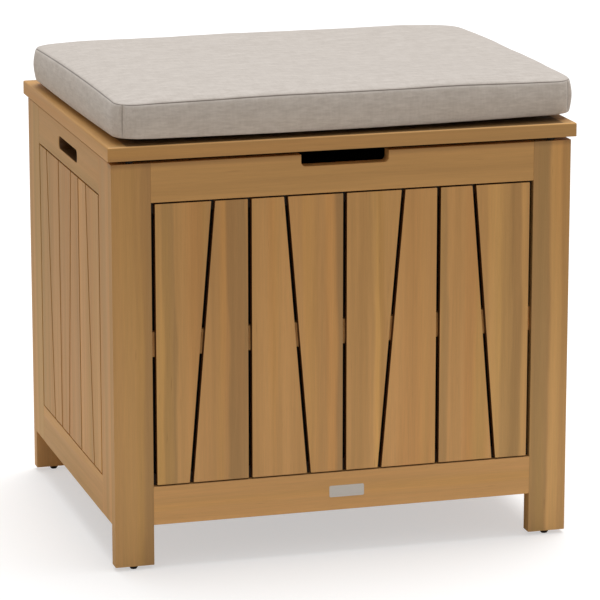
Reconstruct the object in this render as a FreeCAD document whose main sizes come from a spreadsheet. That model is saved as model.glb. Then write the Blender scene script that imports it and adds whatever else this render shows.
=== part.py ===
import FreeCAD, Part
import os
import re
import Sketcher

# Garden storage box with a hinged slatted lid and a loose seat cushion.
# Millimetres, +Z up, the floor at Z = 0, the front towards -Y, the plan centre at X = Y = 0.

V = FreeCAD.Vector

SIZES = [
    ("body_w", 600, "carcass width, left to right"),
    ("body_d", 490, "carcass depth, front to rear"),
    ("body_top", 521, "height of the carcass top above the floor"),
    ("member_w", 50, "face width of legs, stiles and rails"),
    ("member_t", 18, "thickness of legs, stiles and rails"),
    ("foot_h", 5, "height of the plastic glides"),
    ("foot_r", 7, "radius of the glides where they meet the leg"),
    ("foot_flat_r", 4, "radius of the flat each glide stands on"),
    ("rail_low", 57, "underside of the bottom rails"),
    ("arris", 1.5, "rounding of the long outer edges"),
    ("slat_t", 9, "thickness of the wall and lid slats"),
    ("slat_gap", 5, "gap between neighbouring slats"),
    ("slat_end_gap", 2, "gap above and below the slats"),
    ("slat_lean", 15, "sideways shift of a slanted gap at each end"),
    ("batten_t", 9, "thickness of the battens behind the slats"),
    ("batten_h", 15, "height of the top and bottom battens"),
    ("batten_mid_h", 32, "height of the middle batten"),
    ("notch_w", 114, "width of the finger notch in the front rail"),
    ("notch_h", 15, "depth of the finger notch"),
    ("notch_r", 6, "corner radius of notch and hand slots"),
    ("slot_w", 108, "length of a side hand slot"),
    ("slot_h", 17, "height of a side hand slot"),
    ("slot_drop", 17, "rail top down to the hand slot"),
    ("cleat_s", 18, "floor cleat, square section"),
    ("cleat_low", 62, "underside of the floor cleats"),
    ("floor_t", 12, "thickness of the floor boards"),
    ("floor_gap", 4, "gap between floor boards"),
    ("floor_count", 8, "number of floor boards"),
    ("floor_play", 1, "end play of a floor board"),
    ("liner_t", 1, "thickness of the liner cloth"),
    ("liner_top", 485, "height of the liner hem"),
    ("stud_r", 5, "radius of a liner stud"),
    ("stud_h", 3, "how far a liner stud stands in"),
    ("stud_drop", 7, "hem down to the stud centre"),
    ("stud_x", 180, "stud offset along the long walls"),
    ("stud_y", 110, "stud offset along the short walls"),
    ("plate_w", 46, "label plate width"),
    ("plate_h", 15, "label plate height"),
    ("plate_t", 1, "label plate thickness"),
    ("plate_x", 3, "label plate centre from the middle"),
    ("plate_r", 2, "label plate corner radius"),
    ("lid_over", 5, "lid overhang all round"),
    ("lid_gap", 5, "gap between carcass and lid"),
    ("lid_t", 18, "lid thickness"),
    ("lid_round", 2.5, "rounding of the lid's outer top edge"),
    ("lid_batten_w", 40, "width of a lid batten"),
    ("lid_batten_x", 150, "lid batten centre from the middle"),
    ("lid_slat_count", 4, "number of lid slats"),
    ("hinge_x", 190, "hinge centre from the middle"),
    ("hinge_len", 60, "hinge length"),
    ("hinge_y", 2.6, "hinge axis behind the rear face"),
    ("hinge_z", 2.5, "hinge axis above the carcass top"),
    ("leaf_w", 20, "hinge leaf, edge to axis"),
    ("leaf_t", 2, "hinge leaf thickness"),
    ("knuckle_r", 2.4, "hinge knuckle radius"),
    ("pin_r", 1.2, "hinge pin radius"),
    ("pin_play", 0.08, "radial play of pins"),
    ("knuckle_play", 0.3, "end play between knuckles"),
    ("screw_r", 2.4, "hinge screw head radius"),
    ("screw_play", 0.1, "play round a screw head"),
    ("screw_pitch", 20, "spacing of the hinge screws"),
    ("bumper_r", 5, "rubber bumper radius"),
    ("bumper_h", 4.8, "rubber bumper height"),
    ("strut_r", 185, "distance of both strut pivots from the hinge axis"),
    ("strut_low_y", 60, "lower pivot in front of the hinge axis"),
    ("strut_low_z", 175, "lower pivot below the hinge axis"),
    ("strut_top_z", 11.5, "upper pivot below the hinge axis"),
    ("strut_x", 269, "strut centre line from the middle"),
    ("tube_r", 7, "strut tube radius"),
    ("tube_len", 192, "lower pivot to the mouth of the tube"),
    ("tube_start", 12, "lower pivot to the closed end of the bore"),
    ("rod_r", 3, "strut rod radius"),
    ("rod_len", 190, "upper pivot to the rod tip"),
    ("rod_play", 0.05, "radial play of the rod in the tube"),
    ("eye_r", 6, "radius of the strut end eyes"),
    ("eye_t", 8, "thickness of the strut end eyes"),
    ("stub_r", 3, "radius of the bracket pins"),
    ("bracket_t", 3, "thickness of the bracket plates"),
    ("bracket_w", 26, "width of the bracket plates"),
    ("bracket_h", 40, "height of the lower bracket plates"),
    ("cap_r", 4.5, "radius of the bracket pin heads"),
    ("cap_t", 1.5, "thickness of the bracket pin heads"),
    ("pad_t", 2, "hook-and-loop pad thickness"),
    ("pad_w", 60, "hook-and-loop pad length"),
    ("pad_d", 25, "hook-and-loop pad width"),
    ("cushion_w", 600, "cushion width"),
    ("cushion_d", 470, "cushion depth"),
    ("cushion_h", 54, "cushion height"),
    ("cushion_corner_r", 22, "cushion plan corner radius"),
    ("cushion_edge_r", 8, "cushion edge radius, top and bottom"),
    ("cushion_left", 8, "cushion inset from the left lid edge"),
    ("cushion_front", 11, "cushion inset from the lid's front edge"),
]
NAMES = {name for name, value, note in SIZES}

# Places used again and again, as expressions on the sheet.
LEFT, RIGHT = "(-body_w/2)", "(body_w/2)"
FRONT, REAR = "(-body_d/2)", "(body_d/2)"
OPEN_LOW = "(rail_low + member_w)"
OPEN_H = "(body_top - member_w - rail_low - member_w)"
FRONT_OPEN = "(body_w - 2*member_w)"
SIDE_OPEN = "(body_d - 2*member_t - 2*member_w)"
SIDE_START = "(-body_d/2 + member_t + member_w)"
INNER_W = "(body_w - 2*member_t)"
INNER_D = "(body_d - 2*member_t)"
FLOOR_TOP = "(cleat_low + cleat_s + floor_t)"
AXIS_Y = "(body_d/2 + hinge_y)"
AXIS_Z = "(body_top + hinge_z)"
LID_LOW = "(body_top + lid_gap)"
LID_TOP = "(body_top + lid_gap + lid_t)"
LID_W = "(body_w + 2*lid_over)"
LID_D = "(body_d + 2*lid_over)"
TOP_PIVOT_Y = "sqrt(strut_r^2 - strut_top_z^2)"


def q(text):
    """Point every size name in an expression at the sheet."""
    return re.sub(r"[a-z_][a-z_0-9]*",
                  lambda m: "Sizes." + m.group(0) if m.group(0) in NAMES else m.group(0), text)


def bind(obj, path, text):
    obj.setExpression(path, q(text))


def place(obj, at, turn=None):
    """Drive an object's position (three expressions) and, if given, its turn about X."""
    for axis, text in zip("xyz", at):
        bind(obj, "Placement.Base." + axis, text)
    if turn:
        obj.Placement = FreeCAD.Placement(obj.Placement.Base, FreeCAD.Rotation(V(1, 0, 0), 1))
        bind(obj, "Placement.Rotation.Angle", turn)
    return obj


def make_sheet(doc):
    sheet = doc.addObject("Spreadsheet::Sheet", "Sizes")
    for row, (name, value, note) in enumerate(SIZES, start=1):
        sheet.set("A%d" % row, name)
        sheet.set("B%d" % row, str(value))
        sheet.set("C%d" % row, note)
        sheet.setAlias("B%d" % row, name)
    doc.recompute()
    return sheet


# ---- sketches and bodies -------------------------------------------------------------

def new_sketch(body, role, name):
    sketch = body.newObject("Sketcher::SketchObject", name)
    plane = [f for f in body.Origin.OriginFeatures if f.Role == role][0]
    sketch.AttachmentSupport = [(plane, "")]
    sketch.MapMode = "FlatFace"
    return sketch


def outline(body, role, name, corners):
    """Closed outline whose corners are (x, y) expression pairs measured from the origin."""
    sketch = new_sketch(body, role, name)
    count = len(corners)
    rough = [V(0, 0, 0), V(40, 0, 0), V(40, 40, 0), V(0, 40, 0)][:count]
    for i in range(count):
        sketch.addGeometry(Part.LineSegment(rough[i], rough[(i + 1) % count]))
    for i in range(count):
        sketch.addConstraint(Sketcher.Constraint("Coincident", i, 2, (i + 1) % count, 1))
    for i, pair in enumerate(corners):
        for kind, text, seat in (("DistanceX", pair[0], rough[i].x), ("DistanceY", pair[1], rough[i].y)):
            index = sketch.addConstraint(Sketcher.Constraint(kind, -1, 1, i, 1, seat))
            label = "%s%d" % (kind[-1].lower(), i)
            sketch.renameConstraint(index, label)
            bind(sketch, "Constraints." + label, text)
    return sketch


def rectangle(body, role, name, width, height, start=("0", "0")):
    x0, y0 = start
    x1, y1 = "%s + %s" % (x0, width), "%s + %s" % (y0, height)
    return outline(body, role, name, [(x0, y0), (x1, y0), (x1, y1), (x0, y1)])


def pad(body, sketch, length):
    feature = body.newObject("PartDesign::Pad", body.Name + "_pad")
    feature.Profile = sketch
    bind(feature, "Length", length)
    sketch.Visibility = False
    return feature


def board(doc, label, size, at):
    """Rectangular board: size and least corner are expression triples."""
    body = doc.addObject("PartDesign::Body", label)
    pad(body, rectangle(body, "XY_Plane", label + "_face", size[0], size[1]), size[2])
    return place(body, at)


def flat_piece(doc, label, role, corners, thickness, at):
    """Four-cornered piece cut from sheet, drawn on one of the upright planes."""
    body = doc.addObject("PartDesign::Body", label)
    pad(body, outline(body, role, label + "_face", corners), thickness)
    return place(body, at)


def pocket(doc, body, sketch):
    """Cut a sketch right through and make sure that it took material away."""
    doc.recompute()
    before = body.Shape.Volume
    feature = body.newObject("PartDesign::Pocket", body.Name + "_cut")
    feature.Profile = sketch
    feature.Type = "ThroughAll"
    sketch.Visibility = False
    doc.recompute()
    if body.Shape.Volume > before - 1:
        feature.Reversed = True
        doc.recompute()
    if body.Shape.Volume > before - 1:
        raise RuntimeError("pocket missed " + body.Label)
    return feature


def round_edges(doc, body, radius, wanted):
    """Fillet the edges of the body's tip for which wanted(edge) holds."""
    doc.recompute()
    tip = body.Tip
    names = ["Edge%d" % (i + 1) for i, edge in enumerate(tip.Shape.Edges) if wanted(edge)]
    if not names:
        raise RuntimeError("no edge to round on " + body.Label)
    feature = body.newObject("PartDesign::Fillet", "%s_round" % body.Name)
    feature.Base = (tip, names)
    bind(feature, "Radius", radius)
    doc.recompute()
    return feature


def runs(edge, axis):
    """True for a straight edge parallel to the axis."""
    box = edge.BoundBox
    spans = {"x": box.XLength, "y": box.YLength, "z": box.ZLength}
    return spans.pop(axis) > 0.5 and max(spans.values()) < 0.01


def near(value, target):
    return abs(value - target) < 0.05


def group(doc, label, members):
    """Several loose pieces of one kind, written as one file."""
    both = doc.addObject("Part::Compound", label)
    both.Links = members
    return both


# ---- carcass -------------------------------------------------------------------------

def legs_and_rails(doc):
    """Front and rear frames: two legs and two rails each, all flush."""
    made = []
    for wall, y in (("front", FRONT), ("rear", REAR + " - member_t")):
        for side, x in (("left", LEFT), ("right", RIGHT + " - member_w")):
            leg = board(doc, "leg_%s_%s" % (wall, side), ("member_w", "member_t", "body_top - foot_h"),
                        (x, y, "foot_h"))
            out_x = 0 if side == "left" else 50
            out_y = 0 if wall == "front" else 18
            round_edges(doc, leg, "arris", lambda e: runs(e, "z") and near(e.BoundBox.XMin, out_x)
                        and near(e.BoundBox.YMin, out_y))
            made.append(leg)
        for name, z in (("bottom", "rail_low"), ("top", "body_top - member_w")):
            rail = board(doc, "%s_%s_rail" % (wall, name), (FRONT_OPEN, "member_t", "member_w"),
                         (LEFT + " + member_w", y, z))
            if (wall, name) == ("front", "top"):
                cut_notch(doc, rail)
            made.append(rail)
    return made


def cut_notch(doc, rail):
    """Finger notch, open at the top of the front rail."""
    sketch = rectangle(rail, "XZ_Plane", "notch_face", "notch_w", "notch_h + 5",
                       ("%s/2 - notch_w/2" % FRONT_OPEN, "member_w - notch_h"))
    pocket(doc, rail, sketch)
    floor = 35
    round_edges(doc, rail, "notch_r", lambda e: runs(e, "y") and near(e.BoundBox.ZMin, floor)
                and e.BoundBox.XMin > 1 and e.BoundBox.XMax < 499)


def side_frames(doc):
    """Side frames: two stiles and two rails each, between the legs."""
    made = []
    for side, x in (("left", LEFT), ("right", RIGHT + " - member_t")):
        for name, y in (("front", FRONT + " + member_t"), ("rear", REAR + " - member_t - member_w")):
            made.append(board(doc, "%s_%s_stile" % (side, name),
                              ("member_t", "member_w", "body_top - rail_low"), (x, y, "rail_low")))
        for name, z in (("bottom", "rail_low"), ("top", "body_top - member_w")):
            rail = board(doc, "%s_%s_rail" % (side, name), ("member_t", SIDE_OPEN, "member_w"),
                         (x, SIDE_START, z))
            if name == "top":
                cut_slot(doc, rail)
            made.append(rail)
    return made


def cut_slot(doc, rail):
    """Closed hand slot through a side rail."""
    sketch = rectangle(rail, "YZ_Plane", rail.Name + "_slot", "slot_w", "slot_h",
                       ("%s/2 - slot_w/2" % SIDE_OPEN, "member_w - slot_drop - slot_h"))
    pocket(doc, rail, sketch)
    round_edges(doc, rail, "notch_r", lambda e: runs(e, "x") and 1 < e.BoundBox.YMin < 350
                and 1 < e.BoundBox.ZMin < 49)


def slat_corners(lean, second):
    """Corners of the first or second slat of a pair; lean is +1 or -1 at the top end."""
    pitch = "slat_pitch"
    foot = "(slat_pitch/2 - (%d)*slat_lean)" % lean
    head = "(slat_pitch/2 + (%d)*slat_lean)" % lean
    top = "(%s - 2*slat_end_gap)" % OPEN_H
    if second:
        return [(foot + " + slat_gap/2", "0"), (pitch + " - slat_gap/2", "0"),
                (pitch + " - slat_gap/2", top), (head + " + slat_gap/2", top)]
    return [("slat_gap/2", "0"), (foot + " - slat_gap/2", "0"),
            (head + " - slat_gap/2", top), ("slat_gap/2", top)]


def slat_wall(doc, prefix, role, leans, opening, start, depth):
    """Fill one wall opening with pairs of slats parted by a slanted gap."""
    made = []
    pitch = "((%s - slat_gap)/%d)" % (opening, len(leans))
    for k, lean in enumerate(leans):
        along = "%s + slat_gap/2 + %d*%s" % (start, k, pitch)
        low = OPEN_LOW + " + slat_end_gap"
        at = (along, depth, low) if role == "XZ_Plane" else (depth, along, low)
        for second in (False, True):
            corners = [(x.replace("slat_pitch", pitch), y) for x, y in slat_corners(lean, second)]
            label = "%s_slat_%d" % (prefix, 2 * k + 1 + second)
            made.append(flat_piece(doc, label, role, corners, "slat_t", at))
    return made


def slats(doc):
    front = slat_wall(doc, "front", "XZ_Plane", [1, -1, 1, -1], FRONT_OPEN,
                      LEFT + " + member_w", FRONT + " + slat_t")
    left = slat_wall(doc, "left", "YZ_Plane", [1, -1, 1], SIDE_OPEN, SIDE_START, LEFT)
    rear = slat_wall(doc, "rear", "XZ_Plane", [1, -1, 1, -1], FRONT_OPEN, LEFT + " + member_w", REAR)
    right = slat_wall(doc, "right", "YZ_Plane", [1, -1, 1], SIDE_OPEN, SIDE_START,
                      RIGHT + " - slat_t")
    return front + left + [group(doc, "rear_slats", rear), group(doc, "right_slats", right)]


def battens(doc):
    """Three battens behind the slats of every wall, flush with the inside of the frame."""
    made = []
    rows = (("low", "batten_h", OPEN_LOW), ("mid", "batten_mid_h", OPEN_LOW + " + %s/2 - batten_mid_h/2" % OPEN_H),
            ("high", "batten_h", "body_top - member_w - batten_h"))
    for wall, y in (("front", FRONT + " + slat_t"), ("rear", REAR + " - member_t")):
        made.append(group(doc, wall + "_battens", [
            board(doc, "%s_batten_%s" % (wall, name), (FRONT_OPEN, "batten_t", height),
                  (LEFT + " + member_w", y, z)) for name, height, z in rows]))
    made.append(group(doc, "side_battens", [
        board(doc, "%s_batten_%s" % (side, name), ("batten_t", SIDE_OPEN, height), (x, SIDE_START, z))
        for side, x in (("left", LEFT + " + slat_t"), ("right", RIGHT + " - member_t"))
        for name, height, z in rows]))
    return made


def floor_parts(doc):
    """Two cleats on the long walls and the boards that lie across them."""
    cleats = [board(doc, "cleat_" + name, (INNER_W, "cleat_s", "cleat_s"),
                    ("-%s/2" % INNER_W, y, "cleat_low"))
              for name, y in (("front", FRONT + " + member_t"), ("rear", REAR + " - member_t - cleat_s"))]
    width = "((%s - floor_count*floor_gap)/floor_count)" % INNER_W
    boards = doc.addObject("PartDesign::Body", "floor_boards")
    first = pad(boards, rectangle(boards, "XY_Plane", "floor_face", width, INNER_D + " - 2*floor_play"),
                "floor_t")
    repeat = boards.newObject("PartDesign::LinearPattern", "floor_repeat")
    repeat.Originals = [first]
    repeat.Direction = ([f for f in boards.Origin.OriginFeatures if f.Role == "X_Axis"][0], [""])
    bind(repeat, "Length", "(floor_count - 1)*(%s + floor_gap)" % width)
    bind(repeat, "Occurrences", "floor_count")
    boards.Tip = repeat
    place(boards, ("-%s/2 + floor_gap/2" % INNER_W, "-%s/2 + floor_play" % INNER_D,
                   "cleat_low + cleat_s"))
    return [group(doc, "floor_cleats", cleats), boards]


def box_solid(doc, label, size, at):
    box = doc.addObject("Part::Box", label)
    for path, text in zip(("Length", "Width", "Height"), size):
        bind(box, path, text)
    return place(box, at)


def round_bar(doc, label, radius, length, at, axis="z"):
    """Cylinder from a start point along +X, +Y or +Z."""
    bar = doc.addObject("Part::Cylinder", label)
    turns = {"x": (V(0, 1, 0), 90), "y": (V(1, 0, 0), -90)}
    if axis in turns:
        bar.Placement = FreeCAD.Placement(V(0, 0, 0), FreeCAD.Rotation(*turns[axis]))
    bind(bar, "Radius", radius)
    bind(bar, "Height", length)
    return place(bar, at)


def cut(doc, label, base, tool):
    result = doc.addObject("Part::Cut", label)
    result.Base, result.Tool = base, tool
    return result


def fuse(doc, label, members):
    result = doc.addObject("Part::MultiFuse", label)
    result.Shapes = members
    return result


def liner(doc):
    """Open-topped cloth bag against the walls, and the studs along its hem."""
    outer = box_solid(doc, "liner_outer", (INNER_W, INNER_D, "liner_top - " + FLOOR_TOP),
                      ("-%s/2" % INNER_W, "-%s/2" % INNER_D, FLOOR_TOP))
    inner = box_solid(doc, "liner_inner", (INNER_W + " - 2*liner_t", INNER_D + " - 2*liner_t", "liner_top"),
                      ("-%s/2 + liner_t" % INNER_W, "-%s/2 + liner_t" % INNER_D, FLOOR_TOP + " + liner_t"))
    height = "liner_top - stud_drop"
    studs = []
    for sign in (1, -1):
        for wall, y in (("front", "-%s/2 + liner_t" % INNER_D), ("rear", "%s/2 - liner_t - stud_h" % INNER_D)):
            studs.append(round_bar(doc, "stud_" + wall, "stud_r", "stud_h",
                                   ("%d*stud_x" % sign, y, height), "y"))
        for side, x in (("left", "-%s/2 + liner_t" % INNER_W), ("right", "%s/2 - liner_t - stud_h" % INNER_W)):
            studs.append(round_bar(doc, "stud_" + side, "stud_r", "stud_h",
                                   (x, "%d*stud_y" % sign, height), "x"))
    return [cut(doc, "liner_bag", outer, inner), group(doc, "liner_studs", studs)]


def glides(doc):
    """Domed plastic glides: a cone frustum with a flat to stand on, one under every leg."""
    made = []
    for sx in (-1, 1):
        for sy in (-1, 1):
            glide = doc.addObject("Part::Cone", "glide")
            bind(glide, "Radius1", "foot_flat_r")
            bind(glide, "Radius2", "foot_r")
            bind(glide, "Height", "foot_h")
            made.append(place(glide, ("%d*(body_w/2 - member_w/2)" % sx,
                                      "%d*(body_d/2 - member_t/2)" % sy, "0")))
    return group(doc, "glides", made)


def label_plate(doc):
    plate = board(doc, "label_plate", ("plate_w", "plate_t", "plate_h"),
                  ("plate_x - plate_w/2", FRONT + " - plate_t", "rail_low + member_w/2 - plate_h/2"))
    round_edges(doc, plate, "plate_r", lambda e: runs(e, "y"))
    return plate


def bumpers(doc):
    """Rubber buttons on the front legs that the lid closes on."""
    return group(doc, "lid_bumpers", [
        round_bar(doc, "bumper", "bumper_r", "bumper_h",
                  ("%d*(body_w/2 - member_w/2)" % sign, FRONT + " + member_t/2", "body_top"))
        for sign in (-1, 1)])


# ---- hinges --------------------------------------------------------------------------

def hinge_leaf(doc, name, sign, on_lid):
    """One leaf of a butt hinge with its knuckles; the carcass leaf also carries the pin."""
    start = "%d*hinge_x - hinge_len/2" % sign
    low = LID_LOW + " - leaf_t" if on_lid else "body_top"
    parts = [box_solid(doc, name + "_plate", ("hinge_len", "leaf_w", "leaf_t"),
                       (start, AXIS_Y + " - leaf_w", low))]
    turns = (1, 3) if on_lid else (0, 2, 4)
    length = "(hinge_len/5 - knuckle_play)"
    for k in turns:
        parts.append(round_bar(doc, "%s_knuckle_%d" % (name, k), "knuckle_r", length,
                               ("%s + %d*hinge_len/5 + knuckle_play/2" % (start, k), AXIS_Y, AXIS_Z), "x"))
    whole = fuse(doc, name + "_whole", parts)
    tools = []
    for k in ((0, 2, 4) if on_lid else (1, 3)):
        tools.append(round_bar(doc, "%s_clear_%d" % (name, k), "knuckle_r + screw_play",
                               "hinge_len/5 + knuckle_play",
                               ("%s + %d*hinge_len/5 - knuckle_play/2" % (start, k), AXIS_Y, AXIS_Z), "x"))
    for k in (-1, 0, 1):
        tools.append(round_bar(doc, "%s_hole_%d" % (name, k + 1), "screw_r + screw_play", "leaf_t + 2",
                               ("%d*hinge_x + (%d)*screw_pitch" % (sign, k),
                                AXIS_Y + " - leaf_w/2 - knuckle_r", low + " - 1")))
    if on_lid:
        tools.append(round_bar(doc, name + "_bore", "pin_r + pin_play", "hinge_len", (start, AXIS_Y, AXIS_Z), "x"))
        return cut(doc, name + "_leaf", whole, fuse(doc, name + "_tools", tools))
    leaf = cut(doc, name + "_leaf", whole, fuse(doc, name + "_tools", tools))
    pin = round_bar(doc, name + "_pin", "pin_r", "hinge_len - knuckle_play",
                    (start + " + knuckle_play/2", AXIS_Y, AXIS_Z), "x")
    return fuse(doc, name + "_pinned", [leaf, pin])


def hinge_screws(doc, name, sign, on_lid):
    low = LID_LOW + " - leaf_t" if on_lid else "body_top"
    return [round_bar(doc, "%s_screw_%d" % (name, k + 1), "screw_r", "leaf_t",
                      ("%d*hinge_x + (%d)*screw_pitch" % (sign, k),
                       AXIS_Y + " - leaf_w/2 - knuckle_r", low)) for k in (-1, 0, 1)]


# ---- gas struts ----------------------------------------------------------------------
# Both pivots sit at the same distance from the lid's axis, so a strut turns through
# exactly half the lid's angle and the rod stays in line with its tube.

LOW_Y, LOW_Z = "(%s - strut_low_y)" % AXIS_Y, "(%s - strut_low_z)" % AXIS_Z
TOP_Y, TOP_Z = "(%s - %s)" % (AXIS_Y, TOP_PIVOT_Y), "(%s - strut_top_z)" % AXIS_Z
LEAN = "atan2(%s - strut_low_y; strut_low_z - strut_top_z)" % TOP_PIVOT_Y


def strut_tube(doc, label, sign):
    """Tube with a closed lower end and an eye, drawn along +Z from the lower pivot."""
    tube = round_bar(doc, label + "_skin", "tube_r", "tube_len - eye_r - 2", ("0", "0", "eye_r + 2"))
    eye = round_bar(doc, label + "_eye", "eye_r", "eye_t", ("-eye_t/2", "0", "0"), "x")
    neck = round_bar(doc, label + "_neck", "rod_r", "eye_r", ("0", "0", "0.75*eye_r"))
    bore = round_bar(doc, label + "_bore", "rod_r + rod_play", "tube_len", ("0", "0", "tube_start"))
    hole = round_bar(doc, label + "_hole", "stub_r + pin_play", "3*eye_t", ("-1.5*eye_t", "0", "0"), "x")
    body = cut(doc, label, fuse(doc, label + "_all", [tube, eye, neck]), fuse(doc, label + "_tools", [bore, hole]))
    return place(body, ("%d*strut_x" % sign, LOW_Y, LOW_Z), LEAN)


def strut_rod(doc, label, sign):
    """Rod with an eye, drawn along -Z from the upper pivot."""
    rod = round_bar(doc, label + "_bar", "rod_r", "rod_len - 0.75*eye_r", ("0", "0", "-rod_len"))
    eye = round_bar(doc, label + "_eye", "eye_r", "eye_t", ("-eye_t/2", "0", "0"), "x")
    hole = round_bar(doc, label + "_hole", "stub_r + pin_play", "3*eye_t", ("-1.5*eye_t", "0", "0"), "x")
    body = cut(doc, label, fuse(doc, label + "_all", [rod, eye]), hole)
    return place(body, ("%d*strut_x" % sign, TOP_Y, TOP_Z), LEAN)


def lower_bracket(doc, name, sign):
    """Plate on the side wall with the pin of the lower eye."""
    wall = "(body_w/2 - member_t - liner_t)"
    inner = "(strut_x - eye_t/2 - 0.5 - cap_t)"
    plate_x = "-" + wall if sign < 0 else wall + " - bracket_t"
    pin_x = "-" + wall if sign < 0 else inner
    cap_x = "-%s - cap_t" % inner if sign < 0 else inner
    return fuse(doc, name, [
        box_solid(doc, name + "_plate", ("bracket_t", "bracket_w", "bracket_h"),
                  (plate_x, LOW_Y + " - bracket_w/2", LOW_Z + " - bracket_h/2")),
        round_bar(doc, name + "_pin", "stub_r", wall + " - " + inner, (pin_x, LOW_Y, LOW_Z), "x"),
        round_bar(doc, name + "_cap", "cap_r", "cap_t", (cap_x, LOW_Y, LOW_Z), "x")])


def upper_bracket(doc, name, sign):
    """Angle under the lid: a foot, a tab and the pin of the upper eye."""
    tab_out = "(strut_x - tube_r)"
    outer = "(strut_x + eye_t/2 + 0.5)"
    tab_x = "-" + tab_out if sign < 0 else tab_out + " - bracket_t"
    foot_x = "-" + tab_out if sign < 0 else tab_out + " - bracket_w"
    pin_x = "-%s - cap_t" % outer if sign < 0 else tab_out + " - bracket_t/2"
    cap_x = "-%s - cap_t" % outer if sign < 0 else outer
    drop = "(%s - %s + eye_r)" % (LID_LOW, TOP_Z)
    return fuse(doc, name, [
        box_solid(doc, name + "_foot", ("bracket_w", "bracket_w", "bracket_t"),
                  (foot_x, TOP_Y + " - bracket_w/2", LID_LOW + " - bracket_t")),
        box_solid(doc, name + "_tab", ("bracket_t", "2*eye_r", drop),
                  (tab_x, TOP_Y + " - eye_r", LID_LOW + " - " + drop)),
        round_bar(doc, name + "_pin", "stub_r", outer + " + cap_t - %s + bracket_t/2" % tab_out,
                  (pin_x, TOP_Y, TOP_Z), "x"),
        round_bar(doc, name + "_cap", "cap_r", "cap_t", (cap_x, TOP_Y, TOP_Z), "x")])


def bracket_screws(doc, sign):
    """Pan heads on the lower plates and under the upper feet."""
    wall = "(body_w/2 - member_t - liner_t - bracket_t)"
    x = "-" + wall if sign < 0 else wall + " - cap_t"
    low = [round_bar(doc, "bracket_screw", "screw_r", "cap_t",
                     (x, LOW_Y, "%s + (%d)*(bracket_h/2 - 5)" % (LOW_Z, k)), "x") for k in (-1, 1)]
    foot = "%d*(strut_x - tube_r - bracket_w + 6)" % sign
    top = [round_bar(doc, "lid_bracket_screw", "screw_r", "cap_t",
                     (foot, "%s + (%d)*(bracket_w/2 - 5)" % (TOP_Y, k), LID_LOW + " - bracket_t - cap_t"))
           for k in (-1, 1)]
    return low, top


# ---- lid and cushion -----------------------------------------------------------------

def lid_frame(doc):
    """Four mitred boards round the lid; their outer top edges are rounded."""
    made = []
    long_corners = [("0", "0"), (LID_W, "0"), (LID_W + " - member_w", "member_w"), ("member_w", "member_w")]
    long_rear = [("member_w", "0"), (LID_W + " - member_w", "0"), (LID_W, "member_w"), ("0", "member_w")]
    short_left = [("0", "0"), ("member_w", "member_w"), ("member_w", LID_D + " - member_w"), ("0", LID_D)]
    short_right = [("0", "member_w"), ("member_w", "0"), ("member_w", LID_D), ("0", LID_D + " - member_w")]
    rows = (("front", long_corners, ("-%s/2" % LID_W, "-%s/2" % LID_D), "x", "YMin", 0),
            ("rear", long_rear, ("-%s/2" % LID_W, "%s/2 - member_w" % LID_D), "x", "YMax", 50),
            ("left", short_left, ("-%s/2" % LID_W, "-%s/2" % LID_D), "y", "XMin", 0),
            ("right", short_right, ("%s/2 - member_w" % LID_W, "-%s/2" % LID_D), "y", "XMax", 50))
    for name, corners, (x, y), along, end, value in rows:
        piece = flat_piece(doc, "lid_%s_board" % name, "XY_Plane", corners, "lid_t", (x, y, LID_LOW))
        round_edges(doc, piece, "lid_round", lambda e: runs(e, along) and near(e.BoundBox.ZMin, 18)
                    and near(getattr(e.BoundBox, end), value))
        made.append(piece)
    return made


def lid_infill(doc):
    """Slats flush with the lid top, on two battens flush with its underside."""
    length, depth = LID_W + " - 2*member_w", "(%s - 2*member_w)" % LID_D
    width = "((%s - slat_gap*(lid_slat_count + 1))/lid_slat_count)" % depth
    slat_set = [board(doc, "lid_slat_%d" % (k + 1), (length, width, "slat_t"),
                      ("-(%s)/2" % length, "-%s/2 + slat_gap + %d*(%s + slat_gap)" % (depth, k, width),
                       LID_TOP + " - slat_t")) for k in range(4)]
    batten_set = [board(doc, "lid_batten_%s" % name, ("lid_batten_w", depth, "lid_t - slat_t"),
                        ("%d*lid_batten_x - lid_batten_w/2" % sign, "-%s/2" % depth, LID_LOW))
                  for name, sign in (("left", -1), ("right", 1))]
    return [group(doc, "lid_slats", slat_set), group(doc, "lid_battens", batten_set)]


def cushion(doc):
    """Boxed seat cushion: rounded plan and soft edges, at its full height."""
    body = board(doc, "cushion", ("cushion_w", "cushion_d", "cushion_h"),
                 ("-%s/2 + cushion_left" % LID_W, "-%s/2 + cushion_front" % LID_D, LID_TOP + " + pad_t"))
    round_edges(doc, body, "cushion_corner_r", lambda e: runs(e, "z"))
    round_edges(doc, body, "cushion_edge_r", lambda e: e.BoundBox.ZLength < 0.01)
    return body


def cushion_pads(doc):
    """Hook-and-loop pads that hold the cushion to the lid."""
    made = []
    for sx in (-1, 1):
        for sy in (-1, 1):
            made.append(box_solid(doc, "hook_pad", ("pad_w", "pad_d", "pad_t"),
                                  ("%d*200 - pad_w/2" % sx, "20 + %d*170 - pad_d/2" % sy, LID_TOP)))
    return group(doc, "cushion_pads", made)


# ---- whole ---------------------------------------------------------------------------

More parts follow.
